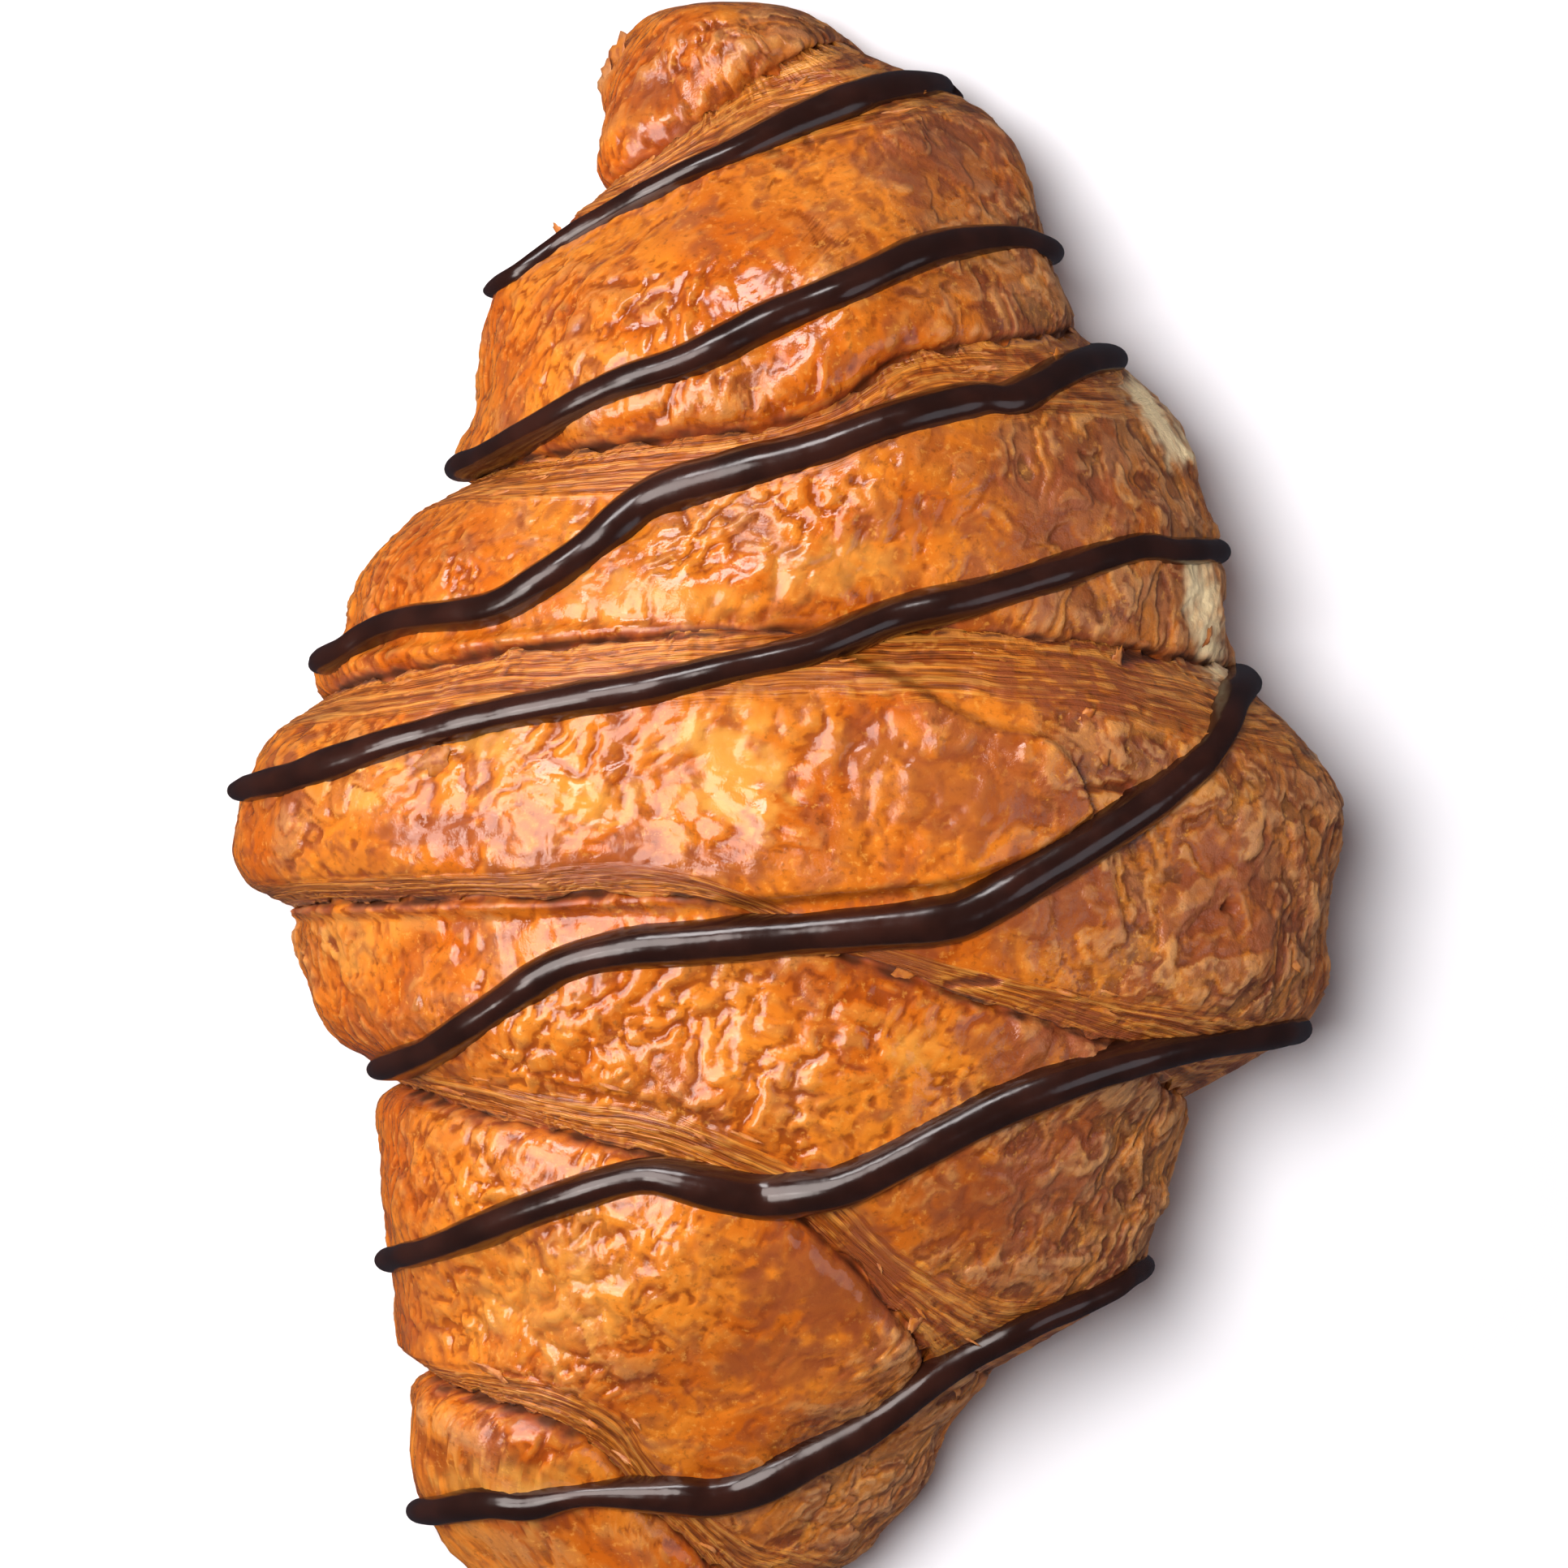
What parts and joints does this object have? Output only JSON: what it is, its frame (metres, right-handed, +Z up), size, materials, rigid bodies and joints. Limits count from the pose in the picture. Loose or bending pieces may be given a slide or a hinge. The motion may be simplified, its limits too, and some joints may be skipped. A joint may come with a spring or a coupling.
{
  "type": "chocolate drizzled croissant",
  "caption": "Baked croissant of rolled, layered dough with lines of dark chocolate drizzled across it, resting on its flat underside.",
  "frame": {"origin": "middle of the ground that the croissant covers, on the surface that it rests on", "axes": "+Y along the roll to its small rounded end, +X to the side that it bows out to, +Z up"},
  "size_m": [0.0976, 0.15, 0.0584],
  "materials": {
    "crust": "egg-washed golden brown crust, glossy on the crests and dry on the cut layers",
    "chocolate": "glossy set dark chocolate"
  },
  "bodies": {
    "root": {"croissant": "crust"}
  },
  "joints": []
}
